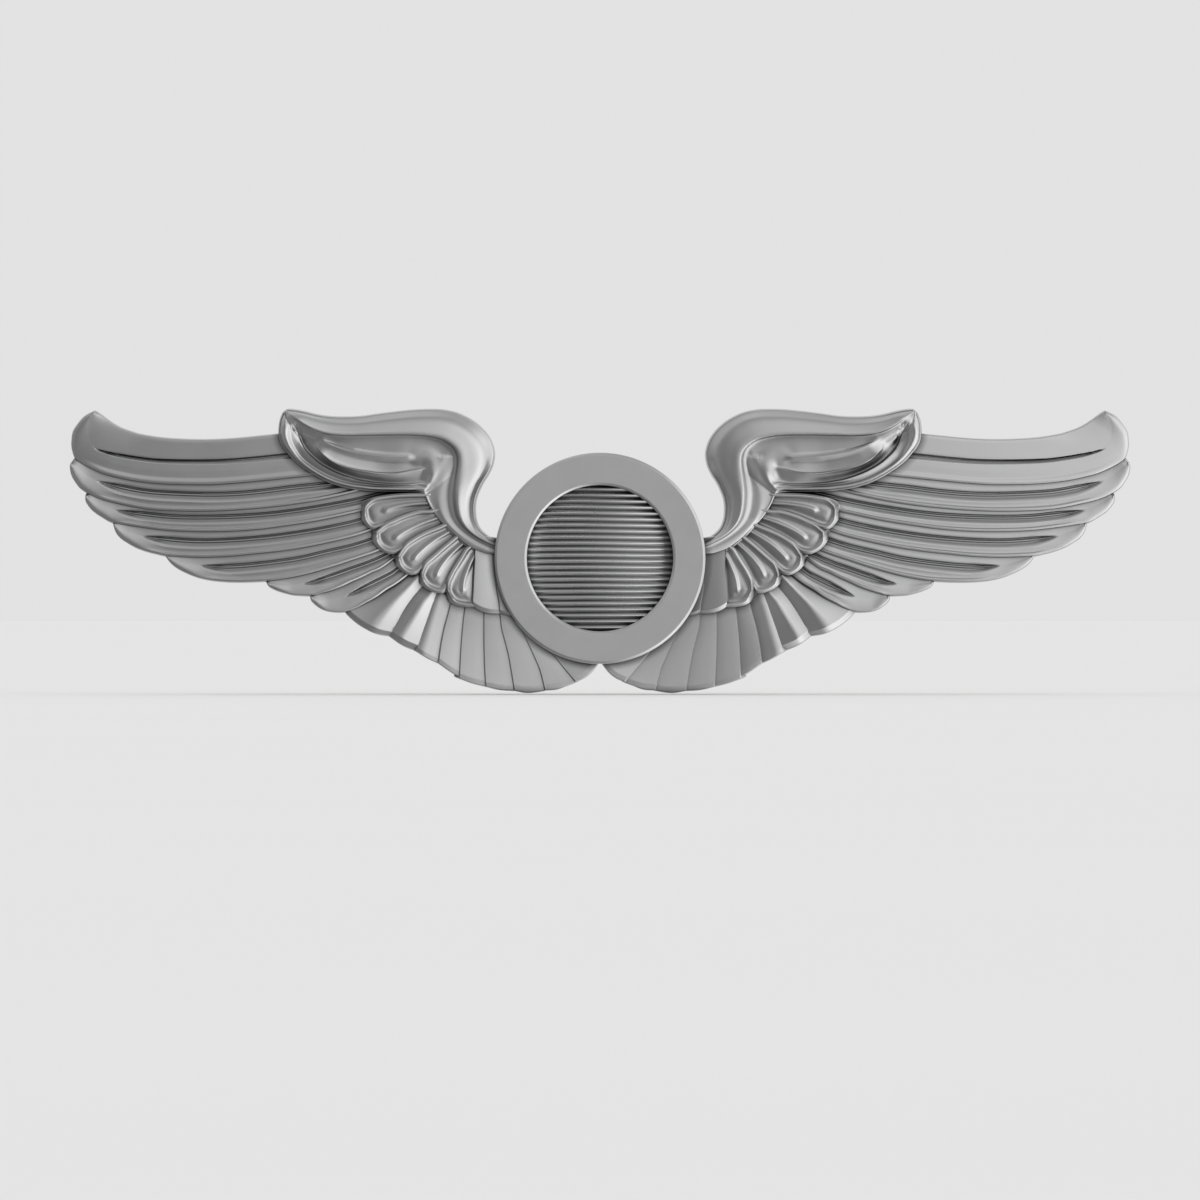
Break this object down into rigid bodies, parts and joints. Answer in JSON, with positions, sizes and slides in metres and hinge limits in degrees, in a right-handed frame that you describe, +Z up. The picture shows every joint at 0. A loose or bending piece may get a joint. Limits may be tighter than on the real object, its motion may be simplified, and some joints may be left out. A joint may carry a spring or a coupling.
{
  "type": "pilot wings pin",
  "caption": "Struck metal aviator's wings with a plain ring and ribbed domed disc at the centre, worn on the chest and held through cloth by posts and butterfly clutches.",
  "frame": {"origin": "middle of the centre clutch's flat rear face at rest, on the ring's axis; the wings' flat backs are 7.3 mm in front of it", "axes": "as worn: +X towards the right wing as seen from the front, +Z up, the front faces -Y and the posts and clutches stand out to +Y"},
  "size_m": [0.076, 0.0107, 0.0202],
  "materials": {
    "satin_silver": "satin silver, fine bead-blasted grain with slightly polished edges",
    "oxidised_silver": "satin silver darkened between the ribs",
    "plated_back": "plain plated back",
    "post_steel": "bright plated",
    "clutch_brass": "bright stamped brass",
    "spring_brass": "rolled spring brass"
  },
  "bodies": {
    "pin": {"left_wing": "satin_silver", "right_wing": "satin_silver", "centre_ring": "satin_silver", "ribbed_disc": "oxidised_silver", "backing_plate": "plated_back", "left_post": "post_steel", "centre_post": "post_steel", "right_post": "post_steel"},
    "left_clutch": {"left_clutch_base": "clutch_brass", "left_clutch_cap": "clutch_brass"},
    "left_spring_a": {"left_spring_wing_a": "spring_brass"},
    "left_spring_b": {"left_spring_wing_b": "spring_brass"},
    "centre_clutch": {"centre_clutch_base": "clutch_brass", "centre_clutch_cap": "clutch_brass"},
    "centre_spring_a": {"centre_spring_wing_a": "spring_brass"},
    "centre_spring_b": {"centre_spring_wing_b": "spring_brass"},
    "right_clutch": {"right_clutch_base": "clutch_brass", "right_clutch_cap": "clutch_brass"},
    "right_spring_a": {"right_spring_wing_a": "spring_brass"},
    "right_spring_b": {"right_spring_wing_b": "spring_brass"}
  },
  "joints": [
    {"name": "left_clutch_slide", "type": "slide", "parent": "pin", "child": "left_clutch", "axis": [0, 1, 0], "range_m": [0, 0.008]},
    {"name": "left_squeeze", "type": "hinge", "parent": "left_clutch", "child": "left_spring_b", "pos_m": [-0.0186, -0.00385, 0.0033], "axis": [0, 0, 1], "range_deg": [0, 12], "stiffness_Nm_per_rad": 0.00002, "springref_deg": -2.86},
    {"name": "left_squeeze_twin", "type": "hinge", "parent": "left_clutch", "child": "left_spring_a", "pos_m": [-0.0244, -0.00385, 0.0033], "axis": [0, 0, 1], "range_deg": [-12, 0], "stiffness_Nm_per_rad": 0.00002, "springref_deg": 2.86},
    {"name": "centre_clutch_slide", "type": "slide", "parent": "pin", "child": "centre_clutch", "axis": [0, 1, 0], "range_m": [0, 0.008]},
    {"name": "centre_squeeze", "type": "hinge", "parent": "centre_clutch", "child": "centre_spring_b", "pos_m": [0.0029, -0.00385, 0], "axis": [0, 0, 1], "range_deg": [0, 12], "stiffness_Nm_per_rad": 0.00002, "springref_deg": -2.86},
    {"name": "centre_squeeze_twin", "type": "hinge", "parent": "centre_clutch", "child": "centre_spring_a", "pos_m": [-0.0029, -0.00385, 0], "axis": [0, 0, 1], "range_deg": [-12, 0], "stiffness_Nm_per_rad": 0.00002, "springref_deg": 2.86},
    {"name": "right_clutch_slide", "type": "slide", "parent": "pin", "child": "right_clutch", "axis": [0, 1, 0], "range_m": [0, 0.008]},
    {"name": "right_squeeze", "type": "hinge", "parent": "right_clutch", "child": "right_spring_b", "pos_m": [0.0244, -0.00385, 0.0033], "axis": [0, 0, 1], "range_deg": [0, 12], "stiffness_Nm_per_rad": 0.00002, "springref_deg": -2.86},
    {"name": "right_squeeze_twin", "type": "hinge", "parent": "right_clutch", "child": "right_spring_a", "pos_m": [0.0186, -0.00385, 0.0033], "axis": [0, 0, 1], "range_deg": [-12, 0], "stiffness_Nm_per_rad": 0.00002, "springref_deg": 2.86}
  ],
  "couplings": [
    {"joint": "left_squeeze_twin", "follows": "left_squeeze", "ratio": -1},
    {"joint": "centre_squeeze_twin", "follows": "centre_squeeze", "ratio": -1},
    {"joint": "right_squeeze_twin", "follows": "right_squeeze", "ratio": -1}
  ]
}
